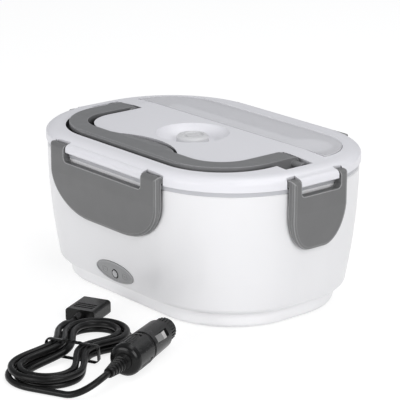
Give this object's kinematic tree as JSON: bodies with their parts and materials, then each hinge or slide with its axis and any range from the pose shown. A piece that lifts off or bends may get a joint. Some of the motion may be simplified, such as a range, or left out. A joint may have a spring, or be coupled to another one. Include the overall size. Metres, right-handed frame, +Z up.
{
  "type": "electric lunch box",
  "caption": "Heated lunch box with a lift-off lid, flap latches, swinging handle, food container, side tray and a detached car lead.",
  "frame": {"origin": "middle of the box on the plane that its feet rest on, measured without the lead", "axes": "+X along the box, to the right of its indicator; -Y towards the indicator; +Z up"},
  "size_m": [0.238, 0.294, 0.1088],
  "materials": {
    "white_plastic": "smooth white moulded plastic",
    "grey_plastic": "satin mid-grey moulded plastic",
    "panel_grey": "light grey moulded plastic",
    "clear_plastic": "clear moulded plastic",
    "pot_plastic": "translucent moulded plastic",
    "soft_rubber": "soft translucent rubber",
    "black_rubber": "black soft rubber",
    "black_plastic": "black moulded plastic",
    "steel": "plain steel",
    "nickel": "bright nickel plating",
    "brass": "plain brass",
    "aluminium": "plain aluminium",
    "board": "green circuit board",
    "led_red": "tinted clear resin",
    "ceramic": "off-white ceramic"
  },
  "bodies": {
    "base": {"outer_housing": "white_plastic", "bottom_cover": "white_plastic", "rubber_feet": "black_rubber", "cover_screws": "steel", "heating_plate": "aluminium", "heater_element": "ceramic", "heater_clamp": "steel", "clamp_nuts": "steel", "thermostat": "steel", "thermal_fuse": "ceramic", "led_board": "board", "led_lamp": "led_red", "indicator_panel": "panel_grey", "led_lens": "clear_plastic", "inlet_socket": "black_plastic", "inlet_pins": "brass", "inner_leads": "black_rubber", "cord_hank": "black_rubber", "cord_tie": "black_plastic", "cord_tail": "black_rubber", "cord_lead": "black_rubber", "connector_body": "black_plastic", "connector_contacts": "brass", "plug_relief": "black_rubber", "plug_body": "black_plastic", "plug_nose": "black_plastic", "plug_side_contacts": "nickel", "plug_fuse": "steel"},
    "container": {"food_container": "pot_plastic"},
    "tray": {"side_tray": "white_plastic"},
    "lid": {"lid_shell": "white_plastic", "lid_liner": "white_plastic", "lid_gasket": "soft_rubber", "handle_pins": "steel"},
    "handle": {"carry_handle": "grey_plastic"},
    "vent": {"vent_plug": "soft_rubber"},
    "spoon": {"spoon": "white_plastic"},
    "cover": {"spoon_cover": "clear_plastic"},
    "front_flap": {"front_latch": "grey_plastic"},
    "rear_flap": {"rear_latch": "grey_plastic"},
    "right_flap": {"right_latch": "grey_plastic"},
    "left_flap": {"left_latch": "grey_plastic"},
    "tip": {"plug_tip": "nickel"}
  },
  "joints": [
    {"name": "container_lift", "type": "slide", "parent": "base", "child": "container", "axis": [0, 0, 1], "range_m": [0, 0.08]},
    {"name": "tray_lift", "type": "slide", "parent": "container", "child": "tray", "axis": [0, 0, 1], "range_m": [0, 0.07]},
    {"name": "lid_lift", "type": "slide", "parent": "tray", "child": "lid", "axis": [0, 0, 1], "range_m": [0, 0.06]},
    {"name": "handle_swing", "type": "hinge", "parent": "lid", "child": "handle", "pos_m": [0, 0.0016, 0.1042], "axis": [-1, 0, 0], "range_deg": [0, 90]},
    {"name": "vent_lift", "type": "slide", "parent": "lid", "child": "vent", "axis": [0, 0, 1], "range_m": [0, 0.008]},
    {"name": "spoon_lift", "type": "slide", "parent": "lid", "child": "spoon", "axis": [0, 0, 1], "range_m": [0, 0.03]},
    {"name": "cover_lift", "type": "slide", "parent": "spoon", "child": "cover", "axis": [0, 0, 1], "range_m": [0, 0.03]},
    {"name": "front_flap_swing", "type": "hinge", "parent": "lid", "child": "front_flap", "pos_m": [0, -0.0813, 0.1006], "axis": [-1, 0, 0], "range_deg": [0, 100]},
    {"name": "rear_flap_swing", "type": "hinge", "parent": "lid", "child": "rear_flap", "pos_m": [0, 0.0813, 0.1006], "axis": [1, 0, 0], "range_deg": [0, 100]},
    {"name": "right_flap_swing", "type": "hinge", "parent": "lid", "child": "right_flap", "pos_m": [0.1137, 0, 0.1006], "axis": [0, -1, 0], "range_deg": [0, 100]},
    {"name": "left_flap_swing", "type": "hinge", "parent": "lid", "child": "left_flap", "pos_m": [-0.1137, 0, 0.1006], "axis": [0, 1, 0], "range_deg": [0, 100]},
    {"name": "plug_tip_press", "type": "slide", "parent": "base", "child": "tip", "axis": [0.4384, -0.8988, 0], "range_m": [0, 0.003], "stiffness_N_per_m": 1500, "springref_m": -0.002}
  ]
}
